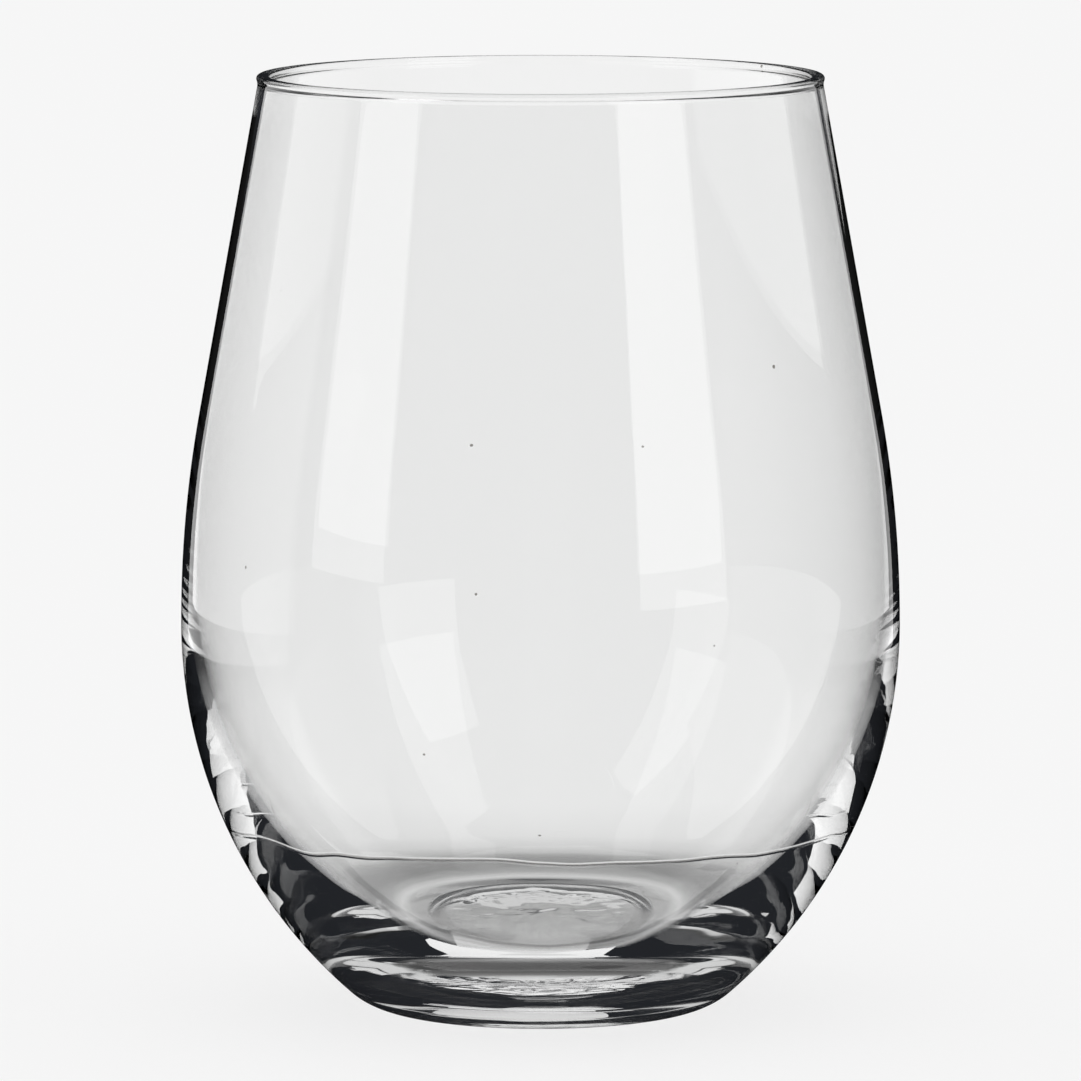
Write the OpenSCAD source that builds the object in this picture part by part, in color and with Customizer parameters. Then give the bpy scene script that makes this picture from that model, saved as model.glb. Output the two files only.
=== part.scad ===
// Stemless wine glass: one press-blown piece of clear soda-lime glass.
// Millimetres, +Z up, origin at the middle of the ring it stands on.

/* [Outside] */
// Height from the table to the top of the rim
height = 119.7; // [105:0.1:135]
// Diameter measured over the rounded rim
rim_diameter = 72.3; // [62:0.1:84]
// Widest diameter of the bowl
belly_diameter = 92; // [80:0.5:108]
// Height of the widest place above the table
belly_height = 49.5; // [42:0.5:57]
// Height where the line of the straight wall would meet the widest diameter
shoulder_height = 63; // [58:0.5:75]
// Diameter of the flat that the glass stands on, where the rounded edge starts
base_diameter = 37.6; // [30:0.1:44]
// Radius of the rounded edge round the base
heel_radius = 9; // [7:0.1:12]

/* [Bowl] */
// Wall thickness just under the rim
rim_wall = 1.1; // [0.9:0.05:1.4]
// Wall thickness at the widest place inside
belly_wall = 1.8; // [1.4:0.05:2.4]
// How much higher the inner outline has its widest place and its shoulder than the outer one
bowl_lift = 3.1; // [1:0.1:5]
// Height of the middle of the bowl's floor above the table
floor_height = 8.8; // [6:0.05:11]
// Diameter of the bowl's floor, where its rounded corner starts
floor_diameter = 35.4; // [28:0.1:42]
// Radius of the hollow curve of the floor
floor_radius = 200; // [140:1:300]
// Radius of the corner between the floor and the side
corner_radius = 16; // [13:0.1:20]

/* [Rim] */
// Thickness of the fire-polished rim
rim_bead = 1.7; // [1.5:0.05:2.2]
// Radius of the rim's rounded edges
rim_edge = 0.45; // [0.35:0.05:0.65]

/* [Underside] */
// Width of the ring that touches the table
ring_width = 2.9; // [2:0.1:5]
// Depth of the sloping edge of the hollow inside that ring
hollow_step = 0.5; // [0.2:0.05:0.8]
// Width of that sloping edge
hollow_edge = 1.7; // [1:0.05:3]
// Extra rise of the hollow from its edge to its middle
hollow_rise = 1.25; // [0.5:0.05:2]

/* [Hidden] */
$fn = 200;

glass_color = [0.86, 0.90, 0.89, 0.35];

// How far each round outline stands into the next one, so that no hairline step is left
seam = 0.004;
// How far up a lower outline then runs on inside the upper one
overlap = 2.5;

bead_centre = [(rim_diameter - rim_bead) / 2, height - rim_edge];
bead_flat = rim_bead / 2 - rim_edge;

outer_rim = bead_centre + [rim_wall / 2, 0];
outer_belly = [belly_diameter / 2, belly_height];
heel_centre = [base_diameter / 2, heel_radius];

inner_rim = bead_centre - [rim_wall / 2, 0];
inner_belly = outer_belly + [-belly_wall, bowl_lift];
floor_centre = [0, floor_height + floor_radius];
floor_slope = asin(floor_diameter / 2 / floor_radius);
floor_edge = floor_centre + floor_radius * [sin(floor_slope), -cos(floor_slope)];
corner_centre = far_point(floor_centre, floor_edge, floor_radius - corner_radius + seam);

hollow_outer = base_diameter / 2 - ring_width;
hollow_inner = hollow_outer - hollow_edge;
hollow_radius = (pow(hollow_inner, 2) + pow(hollow_rise, 2)) / (2 * hollow_rise);

// Point where the straight wall from the knee to the rim leaves the arc above the belly
function wall_start(belly, knee, rim) = knee + (knee.y - belly.y) * (rim - knee) / norm(rim - knee);

// Radius of the arc that is upright at the belly and runs on into a circle of radius r about c
function swell_radius(belly, c, r = 0) =
    (pow(c.x - belly.x, 2) + pow(c.y - belly.y, 2) - r * r) / (2 * (belly.x - c.x - r));

// Point at distance r from c on the ray through q
function far_point(c, q, r) = c + r * (q - c) / norm(q - c);

// Level strip of the section from the axis out to a width
module strip(width, low, high) {
    polygon([[0, low], [width, low], [width, high], [0, high]]);
}

// Part of a disc between two heights, filled in to the axis
module arc_band(centre, radius, low, high) {
    intersection() {
        translate(centre) circle(r = radius);
        strip(belly_diameter, low, high);
    }
    if (centre.x > 0) strip(centre.x, low, high);
}

// Section from the belly up: an arc, then the straight wall to the rim
module upper_section(belly, knee_height, rim) {
    wall_foot = wall_start(belly, [belly.x, knee_height], rim);
    radius = swell_radius(belly, wall_foot);
    arc_band(belly - [radius + seam, 0], radius, belly.y, rim.y);
    polygon([[0, wall_foot.y], wall_foot - [2 * seam, 0], rim, [0, rim.y]]);
}

// Section from the belly down: an arc, then the rounding about a centre
module lower_section(belly, round_centre, round_radius) {
    radius = swell_radius(belly, round_centre, round_radius - seam);
    centre = belly - [radius, 0];
    round_top = far_point(centre, round_centre, radius);
    arc_band(centre, radius, round_top.y, belly.y + overlap);
    arc_band(round_centre, round_radius, round_centre.y - round_radius, round_centre.y);
}

module outside_section() {
    upper_section(outer_belly, shoulder_height, outer_rim);
    lower_section(outer_belly, heel_centre, heel_radius);
}

module bowl_section() {
    upper_section(inner_belly, shoulder_height + bowl_lift, inner_rim);
    lower_section(inner_belly, corner_centre, corner_radius);
    arc_band(floor_centre, floor_radius, floor_height, floor_edge.y);
}

// A sloping edge, cut off above by a low dome
module hollow_section() {
    intersection() {
        polygon([[0, 0], [hollow_outer, 0], [0, hollow_outer * hollow_step / hollow_edge]]);
        translate([0, hollow_step + hollow_rise - hollow_radius]) circle(r = hollow_radius);
    }
}

// Rim: two rounded edges with a narrow flat between them
module bead_section() {
    for (side = [-1, 1]) translate(bead_centre + [side * bead_flat, 0]) circle(r = rim_edge);
    translate(bead_centre) square([2 * bead_flat, 2 * (rim_edge - seam)], center = true);
}

module glass_section() {
    difference() {
        outside_section();
        bowl_section();
        hollow_section();
    }
    bead_section();
}

module glass_body() {
    color(glass_color) rotate_extrude() glass_section();
}

glass_body();
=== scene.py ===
"""Looks of the stemless wine glass: one turned piece of clear glass in a small pale studio."""

import bpy
import math
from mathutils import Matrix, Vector


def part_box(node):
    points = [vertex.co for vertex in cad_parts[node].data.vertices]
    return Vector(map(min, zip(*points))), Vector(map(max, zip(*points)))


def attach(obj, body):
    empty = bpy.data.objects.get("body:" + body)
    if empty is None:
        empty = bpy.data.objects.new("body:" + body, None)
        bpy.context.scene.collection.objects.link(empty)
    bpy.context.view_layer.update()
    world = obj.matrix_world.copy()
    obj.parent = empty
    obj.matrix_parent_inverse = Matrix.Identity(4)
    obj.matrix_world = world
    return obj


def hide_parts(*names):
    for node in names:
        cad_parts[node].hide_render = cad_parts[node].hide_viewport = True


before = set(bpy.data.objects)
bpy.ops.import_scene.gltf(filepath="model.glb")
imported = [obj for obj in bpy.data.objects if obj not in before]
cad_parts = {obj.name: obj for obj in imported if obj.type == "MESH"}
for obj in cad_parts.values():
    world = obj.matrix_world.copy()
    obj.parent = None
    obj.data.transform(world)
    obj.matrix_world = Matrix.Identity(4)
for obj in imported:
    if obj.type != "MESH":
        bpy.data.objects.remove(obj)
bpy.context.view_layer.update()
_, glass_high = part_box("glass_body")

# Sizes of the glass in millimetres, as the part has them
MM = 0.001
HEIGHT = glass_high.z / MM
BELLY_RADIUS = glass_high.x / MM
RIM_DIAMETER = 72.3
BELLY_HEIGHT = 49.5
SHOULDER_HEIGHT = 63
BASE_RADIUS = 18.8
HEEL_RADIUS = 9
RIM_WALL = 1.1
BELLY_WALL = 1.8
BOWL_LIFT = 3.1
FLOOR_HEIGHT = 8.8
FLOOR_EDGE_RADIUS = 17.7
FLOOR_CURVE = 200
CORNER_RADIUS = 16
RIM_THICKNESS = 1.7
RIM_EDGE = 0.45
RING_WIDTH = 2.9
HOLLOW_STEP = 0.5
HOLLOW_EDGE = 1.7
HOLLOW_RISE = 1.25

# Radii of the lip's low crown and of its hollow rounding into the wall, which only the looks have
RIM_CROWN = 3.5
RIM_BLEND = 1.6

# Steps in which each stretch of the section is drawn, and in which it is turned
FLOOR_STEPS = 14
CORNER_STEPS = 22
FLANK_STEPS = 40
SHOULDER_STEPS = 16
WALL_STEPS = 10
LIP_STEPS = 8
CROWN_STEPS = 4
HEEL_STEPS = 18
RING_STEPS = 8
SLOPE_STEPS = 5
DOME_STEPS = 26
TURN_STEPS = 288

# Points of the turned mesh closer than this, in millimetres, are one
SAME_POINT = 0.002
UP = Vector((0, 1))


def touching_arc(belly, centre, radius=0.0):
    """Centre of the arc that is upright at the belly and runs into a circle of that radius."""
    way = centre - belly
    swell = (way.length_squared - radius * radius) / (2 * (-way.x - radius))
    return belly - Vector((swell, 0))


def far_point(centre, through, radius):
    """Point at that distance from the centre, on the ray through another point."""
    return centre + radius * (through - centre).normalized()


def wall_start(belly, knee_height, rim):
    """Where the straight wall leaves the arc above the belly."""
    knee = Vector((belly.x, knee_height))
    return knee + (knee_height - belly.y) * (rim - knee).normalized()


def lip_blend(rim, wall_foot, edge, side):
    """Hollow rounding between a wall and the lip: its ends on wall and lip, and its centre."""
    along = (rim - wall_foot).normalized()
    outwards = side * Vector((along.y, -along.x))
    start = rim - edge + RIM_BLEND * outwards
    half = start.dot(along)
    reach = RIM_EDGE + RIM_BLEND
    slide = -half - math.sqrt(half * half - start.length_squared + reach * reach)
    centre = edge + start + slide * along
    return rim + slide * along, far_point(edge, centre, RIM_EDGE), centre


def start_section(point):
    """One vertex of a new mesh, from which the section is drawn in the plane of X and Z."""
    bpy.ops.object.select_all(action="DESELECT")
    bpy.ops.mesh.primitive_plane_add(size=MM, location=(0, 0, 0))
    bpy.ops.object.mode_set(mode="EDIT")
    bpy.ops.mesh.select_mode(type="VERT")
    bpy.ops.mesh.merge(type="CENTER")
    bpy.ops.transform.translate(value=(point.x * MM, 0, point.y * MM))
    return point


def line_to(here, there, steps):
    """Extrudes the section straight on."""
    move = (there - here) * MM / steps
    for _ in range(steps):
        bpy.ops.mesh.extrude_region_move(TRANSFORM_OT_translate={"value": (move.x, 0, move.y)})
    return there


def arc_to(here, there, centre, steps):
    """Spins the section's end about a centre."""
    turn = (here - centre).angle_signed(there - centre)
    bpy.ops.mesh.spin(
        steps=steps, angle=turn, center=(centre.x * MM, 0, centre.y * MM), axis=(0, -1, 0)
    )
    return there


def draw_section():
    """Draws half the section: bowl floor, inner wall, rim, outer wall, base and underside."""
    lip_top = Vector(((RIM_DIAMETER - RIM_THICKNESS) / 2, HEIGHT))
    crown = lip_top - RIM_CROWN * UP
    lip_half = RIM_THICKNESS / 2 - RIM_EDGE
    edge_height = crown.y + math.sqrt((RIM_CROWN - RIM_EDGE) ** 2 - lip_half**2)
    inner_edge = Vector((lip_top.x - lip_half, edge_height))
    outer_edge = Vector((lip_top.x + lip_half, edge_height))
    inner_rim = Vector((lip_top.x - RIM_WALL / 2, edge_height))
    outer_rim = Vector((lip_top.x + RIM_WALL / 2, edge_height))
    outer_belly = Vector((BELLY_RADIUS, BELLY_HEIGHT))
    inner_belly = outer_belly + Vector((-BELLY_WALL, BOWL_LIFT))

    floor = Vector((0, FLOOR_HEIGHT))
    floor_centre = floor + FLOOR_CURVE * UP
    floor_lift = math.sqrt(FLOOR_CURVE**2 - FLOOR_EDGE_RADIUS**2)
    floor_edge = floor_centre + Vector((FLOOR_EDGE_RADIUS, -floor_lift))
    corner_centre = far_point(floor_edge, floor_centre, CORNER_RADIUS)
    bowl_flank = touching_arc(inner_belly, corner_centre, CORNER_RADIUS)
    corner_top = far_point(corner_centre, 2 * corner_centre - bowl_flank, CORNER_RADIUS)
    inner_foot = wall_start(inner_belly, SHOULDER_HEIGHT + BOWL_LIFT, inner_rim)
    inner_neck, inner_lip, inner_blend = lip_blend(inner_rim, inner_foot, inner_edge, -1)

    here = start_section(floor)
    here = arc_to(here, floor_edge, floor_centre, FLOOR_STEPS)
    here = arc_to(here, corner_top, corner_centre, CORNER_STEPS)
    here = arc_to(here, inner_belly, bowl_flank, FLANK_STEPS)
    here = arc_to(here, inner_foot, touching_arc(inner_belly, inner_foot), SHOULDER_STEPS)
    here = line_to(here, inner_neck, WALL_STEPS)
    here = arc_to(here, inner_lip, inner_blend, LIP_STEPS)
    here = arc_to(here, far_point(crown, inner_edge, RIM_CROWN), inner_edge, LIP_STEPS)

    outer_foot = wall_start(outer_belly, SHOULDER_HEIGHT, outer_rim)
    outer_neck, outer_lip, outer_blend = lip_blend(outer_rim, outer_foot, outer_edge, 1)
    here = arc_to(here, lip_top, crown, CROWN_STEPS)
    here = arc_to(here, far_point(crown, outer_edge, RIM_CROWN), crown, CROWN_STEPS)
    here = arc_to(here, outer_lip, outer_edge, LIP_STEPS)
    here = arc_to(here, outer_neck, outer_blend, LIP_STEPS)
    here = line_to(here, outer_foot, WALL_STEPS)

    heel_centre = Vector((BASE_RADIUS, HEEL_RADIUS))
    flank = touching_arc(outer_belly, heel_centre, HEEL_RADIUS)
    heel_top = far_point(heel_centre, 2 * heel_centre - flank, HEEL_RADIUS)
    here = arc_to(here, outer_belly, touching_arc(outer_belly, outer_foot), SHOULDER_STEPS)
    here = arc_to(here, heel_top, flank, FLANK_STEPS)
    here = arc_to(here, Vector((BASE_RADIUS, 0)), heel_centre, HEEL_STEPS)

    hollow_outer = Vector((BASE_RADIUS - RING_WIDTH, 0))
    hollow_inner = hollow_outer + Vector((-HOLLOW_EDGE, HOLLOW_STEP))
    hollow_top = Vector((0, HOLLOW_STEP + HOLLOW_RISE))
    dome = (hollow_inner.x**2 + HOLLOW_RISE**2) / (2 * HOLLOW_RISE)
    here = line_to(here, hollow_outer, RING_STEPS)
    here = line_to(here, hollow_inner, SLOPE_STEPS)
    arc_to(here, hollow_top, hollow_top - dome * UP, DOME_STEPS)


def turn_glass():
    """Turns the section about the axis into the finished glass."""
    draw_section()
    bpy.ops.mesh.select_all(action="SELECT")
    bpy.ops.mesh.spin(steps=TURN_STEPS, angle=math.tau, center=(0, 0, 0), axis=(0, 0, 1))
    bpy.ops.mesh.select_all(action="SELECT")
    bpy.ops.mesh.remove_doubles(threshold=SAME_POINT * MM)
    bpy.ops.mesh.normals_make_consistent(inside=False)
    bpy.ops.object.mode_set(mode="OBJECT")
    bpy.ops.object.shade_smooth()
    glass = bpy.context.object
    glass.name = "glass_body_turned"
    glass.data.name = glass.name
    return glass


def ramp(value, start, end):
    """Goes smoothly from 0 at start to 1 at end."""
    part = min(max((value - start) / (end - start), 0), 1)
    return part * part * (3 - 2 * part)


def bowl_weight(radius, height, normal):
    """Inner side and floor of the bowl, fading out towards the belly."""
    faces_up = normal.z > 0.02
    return 1 - ramp(height, start=14, end=32) if faces_up else 0


def hollow_weight(radius, height, normal):
    """Middle of the hollow in the underside."""
    in_hollow = height < 2.2 and normal.z < 0
    return 1 - ramp(radius, start=9, end=14) if in_hollow else 0


def weigh(glass, name, weight):
    """Vertex group with a weight for each vertex, from its place in millimetres and normal."""
    group = glass.vertex_groups.new(name=name)
    for vertex in glass.data.vertices:
        radius = math.hypot(vertex.co.x, vertex.co.y) / MM
        amount = weight(radius, vertex.co.z / MM, vertex.normal)
        if amount > 0:
            group.add([vertex.index], amount, "REPLACE")


def uneven(glass, name, grain, depth, weight):
    """Makes part of the surface slightly uneven, as blown glass is; sizes in millimetres."""
    weigh(glass, name, weight)
    waves = bpy.data.textures.new(name, type="CLOUDS")
    waves.noise_scale = grain * MM
    waves.noise_depth = 1
    bumps = glass.modifiers.new(name, "DISPLACE")
    bumps.texture = waves
    bumps.texture_coords = "LOCAL"
    bumps.direction = "NORMAL"
    bumps.strength = depth * MM
    bumps.vertex_group = name
    bpy.ops.object.modifier_apply(modifier=name)


def feed(tree, socket, given):
    """Gives an input socket a number or colour, or links it from another socket."""
    if isinstance(given, bpy.types.NodeSocket):
        tree.links.new(given, socket)
    else:
        socket.default_value = given


def add_node(tree, kind, inputs, **settings):
    """New node with its settings, and its inputs given by name or place."""
    node = tree.nodes.new(kind)
    for name, value in settings.items():
        setattr(node, name, value)
    for name, given in inputs.items():
        feed(tree, node.inputs[name], given)
    return node


def value_math(tree, operation, *values):
    """One Math node on sockets or numbers."""
    inputs = dict(enumerate(values))
    return add_node(tree, "ShaderNodeMath", inputs, operation=operation).outputs[0]


def vector_length(tree, vector):
    """Length of a vector."""
    node = add_node(tree, "ShaderNodeVectorMath", {0: vector}, operation="LENGTH")
    return node.outputs["Value"]


def mix_colours(tree, factor, first, second):
    """Mix of two colours."""
    inputs = {"Factor": factor, "A": first, "B": second}
    return add_node(tree, "ShaderNodeMix", inputs, data_type="RGBA").outputs["Result"]


def mix_shaders(tree, factor, first, second):
    """Mix of two shaders."""
    inputs = {0: factor, 1: first, 2: second}
    return add_node(tree, "ShaderNodeMixShader", inputs).outputs[0]


def object_place(tree):
    """Place on the object in metres: as a vector, and as its X, Y and Z."""
    place = tree.nodes.new("ShaderNodeTexCoord").outputs["Object"]
    return place, add_node(tree, "ShaderNodeSeparateXYZ", {"Vector": place}).outputs


def soft_band(tree, value, middle, inner, outer):
    """1 within inner of the middle, falling smoothly to 0 at outer; all in millimetres."""
    away = value_math(tree, "ABSOLUTE", value_math(tree, "SUBTRACT", value, middle * MM))
    inputs = {
        "Value": away, "From Min": inner * MM, "From Max": outer * MM, "To Min": 1, "To Max": 0,
    }
    band = add_node(tree, "ShaderNodeMapRange", inputs, interpolation_type="SMOOTHSTEP")
    return band.outputs["Result"]


# Finish of the glass: its colour and the dark colour of its specks and of the painted shade on
# the press line and dull ring, how far each mark takes that colour, and relief in millimetres
GLASS_IOR = 1.52
CLEAR = (0.996, 0.998, 0.996, 1)
SPECKS_AND_PAINTED_SHADE = (0.12, 0.11, 0.1, 1)
WAVE_SCALE = 70
WAVE_STRENGTH = 0.25
WAVE_RELIEF = 0.05
# Painted shade: how dark the press line is, standing in for the shade under the heel seen through
# the wall
PRESS_LINE_PAINTED_SHADE = 0.75
PRESS_RELIEF = 0.03
# Painted shade: how dark the dull ring is, standing in for the shaded floor seen through the
# hollow's edge
DULL_RING_PAINTED_SHADE = 0.55
DULL_ROUGHNESS = 0.15


def press_line_with_painted_shade(tree, waves, radius, axes):
    """Mask of the thin wavy line on the front half of the bowl's inner side: a slightly raised
    press line whose dark tint is painted shade, standing in for the shade under the heel seen
    through the wall.
    """
    wander, inner_side = 2.4 * MM, 38.5 * MM
    height = value_math(tree, "MULTIPLY_ADD", waves, wander, axes["Z"])
    line = soft_band(tree, height, middle=26, inner=0.05, outer=0.3)
    inside = value_math(tree, "LESS_THAN", radius, inner_side)
    front = soft_band(tree, axes["Y"], middle=-40, inner=28, outer=37)
    return value_math(tree, "MULTIPLY", value_math(tree, "MULTIPLY", line, inside), front)


def dull_ring_with_painted_shade(tree, radius, axes):
    """Mask of the dull ring round the edge of the hollow in the underside: its roughness is real
    dulling, its dark tint is painted shade, standing in for the shaded floor seen through the
    hollow's edge.
    """
    top = 1.4 * MM
    low = value_math(tree, "LESS_THAN", axes["Z"], top)
    ring = soft_band(tree, radius, middle=14.6, inner=1, outer=1.8)
    return value_math(tree, "MULTIPLY", ring, low)


def specks(tree, place):
    """Mask of a few dark specks."""
    cells_per_metre, speck_size, left_out = 130, 0.032, 0.75
    cells = add_node(tree, "ShaderNodeTexVoronoi", {"Vector": place, "Scale": cells_per_metre})
    pick = add_node(tree, "ShaderNodeSeparateColor", {"Color": cells.outputs["Color"]})
    dot = value_math(tree, "LESS_THAN", cells.outputs["Distance"], speck_size)
    chosen = value_math(tree, "GREATER_THAN", pick.outputs["Red"], left_out)
    return value_math(tree, "MULTIPLY", dot, chosen)


def clear_glass():
    """Clear soda-lime glass: faint waves, a press line in the bowl and a dull ring below, both
    darkened with painted shade, and specks.
    """
    material = bpy.data.materials.new("clear_glass")
    material.use_nodes = True
    tree = material.node_tree
    place, axes = object_place(tree)
    flat = add_node(tree, "ShaderNodeCombineXYZ", {"X": axes["X"], "Y": axes["Y"]})
    radius = vector_length(tree, flat.outputs[0])
    noise = {"Vector": place, "Scale": WAVE_SCALE, "Detail": 1}
    waves = add_node(tree, "ShaderNodeTexNoise", noise).outputs["Fac"]
    line = press_line_with_painted_shade(tree, waves, radius, axes)
    dull_shaded_ring = dull_ring_with_painted_shade(tree, radius, axes)

    # Painted shade: the dull ring and the press line take the dark colour, as the specks do
    painted_shade = value_math(tree, "MULTIPLY", dull_shaded_ring, DULL_RING_PAINTED_SHADE)
    painted_shade = value_math(tree, "MULTIPLY_ADD", line, PRESS_LINE_PAINTED_SHADE, painted_shade)
    marks = value_math(tree, "MAXIMUM", specks(tree, place), painted_shade)

    wavy = {"Strength": WAVE_STRENGTH, "Distance": WAVE_RELIEF * MM, "Height": waves}
    wavy = add_node(tree, "ShaderNodeBump", wavy).outputs["Normal"]
    pressed = {"Strength": 1, "Distance": PRESS_RELIEF * MM, "Height": line, "Normal": wavy}
    pressed = add_node(tree, "ShaderNodeBump", pressed).outputs["Normal"]

    finish = {
        "Transmission Weight": 1,
        "IOR": GLASS_IOR,
        "Base Color": mix_colours(tree, marks, CLEAR, SPECKS_AND_PAINTED_SHADE),
        "Roughness": value_math(tree, "MULTIPLY", dull_shaded_ring, DULL_ROUGHNESS),
        "Normal": pressed,
    }
    for name, given in finish.items():
        feed(tree, tree.nodes["Principled BSDF"].inputs[name], given)
    return material


# Studio: what shows straight through the glass is pale, what shows by reflection is the dark set
PALE = 0.9216
THROUGH = 0.955
DARK = (0.018, 0.0195, 0.023, 1)
SHADOW = 0.10
MANY_REFLECTIONS = 8.5


def grey(level):
    """Neutral colour of that level."""
    return (level, level, level, 1)


def depth_over(tree, kind, limit):
    """1 where the ray's depth of that kind is over the limit, else 0."""
    path = tree.nodes.new("ShaderNodeLightPath")
    return value_math(tree, "GREATER_THAN", path.outputs[kind], limit)


def reflected(tree):
    """1 where the ray has been reflected at least once, else 0."""
    return depth_over(tree, "Glossy Depth", 0.5)


def reflected_once(tree):
    """1 where the ray has been reflected just once, else 0."""
    return value_math(tree, "SUBTRACT", reflected(tree), depth_over(tree, "Glossy Depth", 1.5))


def reflected_often(tree):
    """1 where the ray has gone round in the wall by many reflections, else 0."""
    return depth_over(tree, "Glossy Depth", MANY_REFLECTIONS)


def reflected_seldom(tree):
    """1 where the ray has been reflected a few times, else 0."""
    return value_math(tree, "SUBTRACT", reflected(tree), reflected_often(tree))


def been_inside(tree):
    """1 where the ray has been in the glass and was reflected, else 0."""
    inside = depth_over(tree, "Transmission Depth", 0.5)
    return value_math(tree, "MULTIPLY", inside, reflected(tree))


def stage_material(name):
    """Material of a stage piece, with an empty tree."""
    material = bpy.data.materials.new(name)
    material.use_nodes = True
    material.node_tree.nodes.clear()
    return material


def lit_panel_material(name, bearings, levels, met_by):
    """Panel that only some rays meet; its light goes evenly from one side to the other."""
    material = stage_material(name)
    tree = material.node_tree
    _, axes = object_place(tree)
    left, right = (math.radians(bearing) for bearing in bearings)
    fade = {
        "Value": value_math(tree, "ARCTAN2", axes["X"], axes["Y"]),
        "From Min": left, "From Max": right, "To Min": levels[0], "To Max": levels[1],
    }
    level = add_node(tree, "ShaderNodeMapRange", fade).outputs["Result"]
    light = add_node(tree, "ShaderNodeEmission", {"Strength": level}).outputs[0]
    clear = tree.nodes.new("ShaderNodeBsdfTransparent").outputs[0]
    shown = mix_shaders(tree, met_by(tree), clear, light)
    add_node(tree, "ShaderNodeOutputMaterial", {"Surface": shown})
    return material


# Painted light and shade on the floor as seen through the glass and by reflection, standing in
# for the glass's shadow and for the light it gathers under its base: radius in millimetres, level
PAINTED_SHADE_UNDER_BASE = (
    (0, 0.36), (9, 0.4), (13, 0.28), (18, 0.34), (20.5, 0.68), (23, 0.4), (26, 0.26),
    (31, 0.3), (34, 0.4), (36, 0.57), (41, 0.76), (50, 0.88), (75, THROUGH),
)
# Painted light and shade of the floor as rays reflected inside the glass meet it
PAINTED_LIGHT_AND_SHADE_BY_REFLECTION = (
    (0, 0.7), (8, 0.64), (13, 0.3), (17, 0.08), (20.5, 0.08), (24, 0.7),
    (40, 0.72), (60, 0.72), (110, 0.5), (150, 0.1), (220, 0.012),
)
# By reflection the floor's light starts in front of the axis: its Y in millimetres
LIT_FROM = -30
LIT_FULLY_FROM = -22


def open_floor(tree):
    """Floor beside the glass: a small share of it is lit by the lamp, so it takes the shadow."""
    matt = add_node(tree, "ShaderNodeBsdfDiffuse", {"Color": grey(SHADOW)}).outputs[0]
    light = add_node(tree, "ShaderNodeEmission", {"Color": grey(PALE - SHADOW)}).outputs[0]
    return add_node(tree, "ShaderNodeAddShader", {0: matt, 1: light}).outputs[0]


def ring_light(tree, rings):
    """Painted light and shade: emission of the floor in rings about the glass."""
    reach = rings[-1][0]
    place, _ = object_place(tree)
    share = value_math(tree, "DIVIDE", vector_length(tree, place), reach * MM)
    levels = add_node(tree, "ShaderNodeValToRGB", {"Fac": share})
    marks = levels.color_ramp.elements
    while len(marks) < len(rings):
        marks.new(0.5)
    for mark, (distance, level) in zip(marks, rings):
        mark.position = distance / reach
        mark.color = grey(level)
    return add_node(tree, "ShaderNodeEmission", {"Color": levels.outputs["Color"]})


def floor_by_reflection(tree):
    """Floor for rays that were reflected: dark, and with painted light and shade in rings for
    those that have been in the glass.
    """
    light = ring_light(tree, PAINTED_LIGHT_AND_SHADE_BY_REFLECTION)
    _, axes = object_place(tree)
    fade = {"Value": axes["Y"], "From Min": LIT_FROM * MM, "From Max": LIT_FULLY_FROM * MM}
    fade = add_node(tree, "ShaderNodeMapRange", fade, interpolation_type="SMOOTHSTEP")
    strength = value_math(tree, "MULTIPLY", fade.outputs["Result"], been_inside(tree))
    feed(tree, light.inputs["Strength"], strength)
    return light.outputs[0]


def floor_material():
    """Pale floor: a soft shadow to the camera, and through the glass painted shade under the heel
    and painted light under the base.
    """
    material = stage_material("pale_floor")
    tree = material.node_tree
    through = tree.nodes.new("ShaderNodeLightPath").outputs["Is Transmission Ray"]
    under_base = ring_light(tree, PAINTED_SHADE_UNDER_BASE).outputs[0]
    straight = mix_shaders(tree, through, open_floor(tree), under_base)
    shown = mix_shaders(tree, reflected(tree), straight, floor_by_reflection(tree))
    add_node(tree, "ShaderNodeOutputMaterial", {"Surface": shown})
    return material


def sheet(name, corners, material):
    """Flat stage sheet with its corners in metres, made from a plane."""
    bpy.ops.object.select_all(action="DESELECT")
    bpy.ops.mesh.primitive_plane_add(size=1, location=(0, 0, 0))
    piece = bpy.context.object
    piece.name = name
    for vertex, corner in zip(piece.data.vertices, corners):
        vertex.co = corner
    piece.data.materials.append(material)
    return piece


# Places of the floor's edge and of the panels in metres, and the height they are aimed at
FLOOR_HALF = 8
FLOOR_LEVEL = -0.1 * MM
BACKDROP_AT = 1.2
SIDE_SHEETS_AT = 0.15
SOFTBOXES_AT = 0.7
AIM_HEIGHT = 50 * MM

# Panels: left and right bearing and low and high elevation in degrees as seen from the glass,
# distance, light at the left and right side, and the rays that meet them
PANELS = (
    ("backdrop", (-12, 21), (0, 19), BACKDROP_AT, (0.78, 0.78), been_inside),
    ("backdrop_upper", (-19, 29), (19, 36), BACKDROP_AT, (0.98, 0.98), been_inside),
    ("backdrop_top", (-18, 10), (36, 62), BACKDROP_AT, (0.9, 0.9), been_inside),
    ("side_sheet_left", (-103, -40), (-9, 40), SIDE_SHEETS_AT, (0.4, 1.1), reflected_once),
    ("side_sheet_right", (40, 95), (-9, 40), SIDE_SHEETS_AT, (0.85, 0.05), reflected_once),
    ("softbox_left", (-130.5, -104), (0.5, 60.1), SOFTBOXES_AT, (1.15, 1.15), reflected_seldom),
    ("softbox_right", (120.5, 149.3), (-1.5, 46.5), SOFTBOXES_AT, (1.3, 1.3), reflected_seldom),
    ("low_light_left", (-152, -124), (0.5, 24), SOFTBOXES_AT, (1.15, 1.15), reflected_often),
    ("low_light_right", (134, 170), (0.5, 24), SOFTBOXES_AT, (1.15, 1.15), reflected_often),
)


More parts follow.
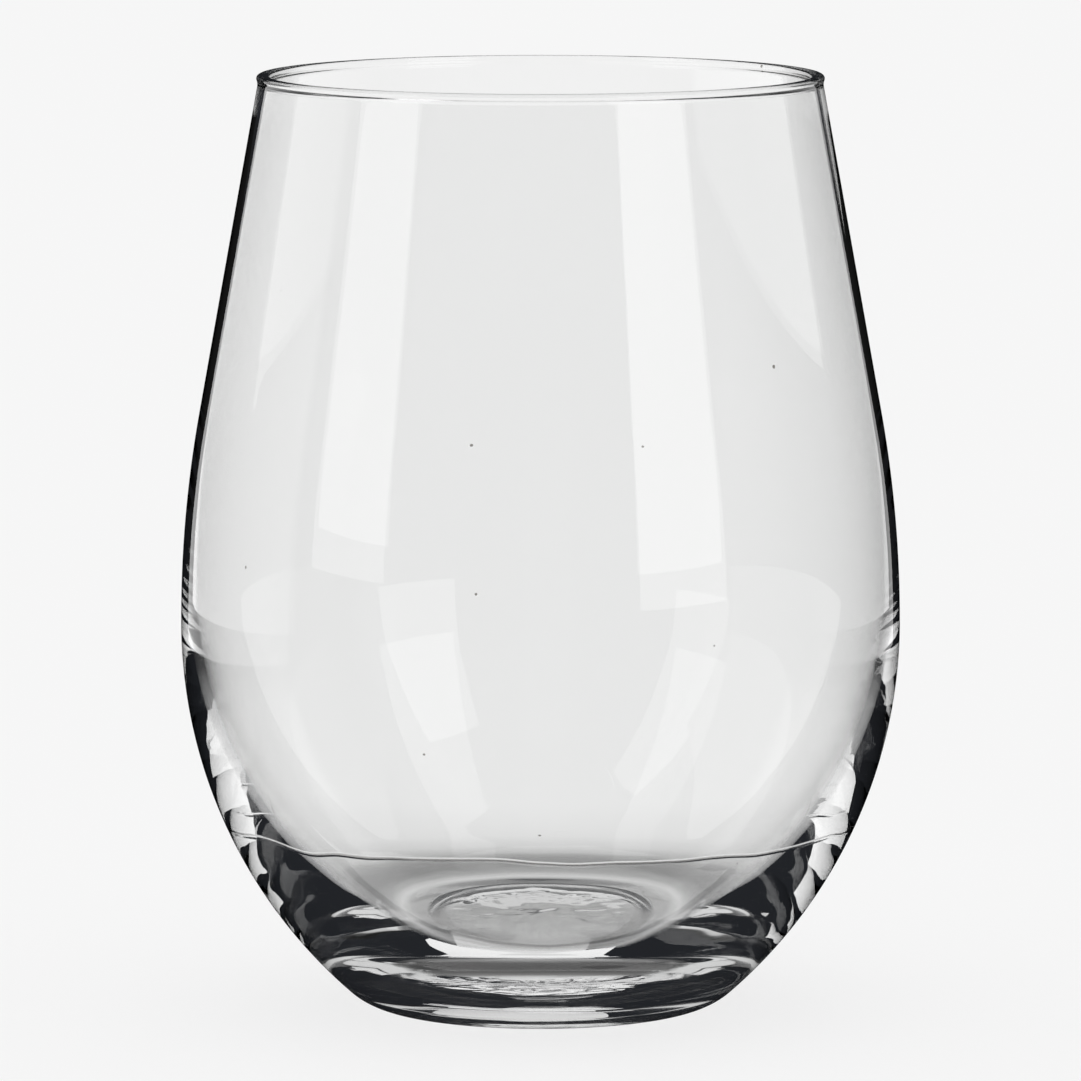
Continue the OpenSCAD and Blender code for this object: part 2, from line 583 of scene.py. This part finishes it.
def panel(name, bearings, elevations, distance, levels, met_by):
    """Upright lit panel, hidden from the camera."""
    left, right = bearings
    middle = math.radians((left + right) / 2)
    half = distance * math.tan(math.radians((right - left) / 2))
    foot = Vector((math.sin(middle), math.cos(middle), 0)) * distance
    side = Vector((math.cos(middle), -math.sin(middle), 0)) * half
    bottom, top = (
        Vector((0, 0, AIM_HEIGHT + distance * math.tan(math.radians(elevation))))
        for elevation in elevations
    )
    corners = (foot - side + bottom, foot + side + bottom, foot - side + top, foot + side + top)
    piece = sheet(name, corners, lit_panel_material(name, bearings, levels, met_by))
    piece.visible_camera = False
    piece.visible_diffuse = False
    piece.visible_shadow = False


def soft_lamp():
    """Soft lamp above: it lights the floor, and the glass doesn't show it."""
    spread = 80
    bpy.ops.object.light_add(type="SUN", location=(0, 0, 2))
    lamp = bpy.context.object
    lamp.name = "soft_lamp"
    lamp.data.energy = math.pi
    lamp.data.angle = math.radians(spread)
    lamp.visible_glossy = False
    lamp.visible_transmission = False


def surroundings():
    """World: pale to the camera and straight through the glass, dark by reflection."""
    world = bpy.data.worlds.new("studio")
    bpy.context.scene.world = world
    world.use_nodes = True
    tree = world.node_tree
    path = tree.nodes.new("ShaderNodeLightPath").outputs
    pale = mix_colours(tree, path["Is Transmission Ray"], grey(PALE), grey(THROUGH))
    seen = value_math(tree, "MAXIMUM", path["Is Camera Ray"], path["Is Transmission Ray"])
    straight = value_math(tree, "SUBTRACT", seen, reflected(tree))
    shown = mix_colours(tree, straight, DARK, pale)
    feed(tree, tree.nodes["Background"].inputs["Color"], shown)


def studio():
    """Pale floor, lit panels, a soft lamp above and the world."""
    corners = [
        Vector((x * FLOOR_HALF, y * FLOOR_HALF, FLOOR_LEVEL)) for y in (-1, 1) for x in (-1, 1)
    ]
    sheet("floor", corners, floor_material())
    for row in PANELS:
        panel(*row)
    soft_lamp()
    surroundings()


def camera():
    """Camera at the photograph's place: a long lens, a little above the rim."""
    distance, eye_height, pitch = 1.2, 0.2044, 0.1198
    focal_pixels, frame_pixels, sensor = 9446.9, 1081, 36
    bpy.ops.object.camera_add(
        location=(0, -distance, eye_height), rotation=(math.pi / 2 - pitch, 0, 0)
    )
    eye = bpy.context.object
    eye.data.sensor_width = sensor
    eye.data.lens = focal_pixels * sensor / frame_pixels
    eye.data.clip_start = 0.01
    bpy.context.scene.camera = eye


glass = turn_glass()
uneven(glass, "bowl_waves", grain=9, depth=0.05, weight=bowl_weight)
uneven(glass, "hollow_scar", grain=2.8, depth=0.45, weight=hollow_weight)
glass.data.materials.append(clear_glass())
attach(glass, "root")
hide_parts("glass_body")

studio()
camera()

# Light goes round in the thick base many times
BOUNCES = 72
scene = bpy.context.scene
scene.view_settings.view_transform = "Standard"
scene.cycles.max_bounces = BOUNCES
scene.cycles.glossy_bounces = BOUNCES
scene.cycles.transmission_bounces = BOUNCES
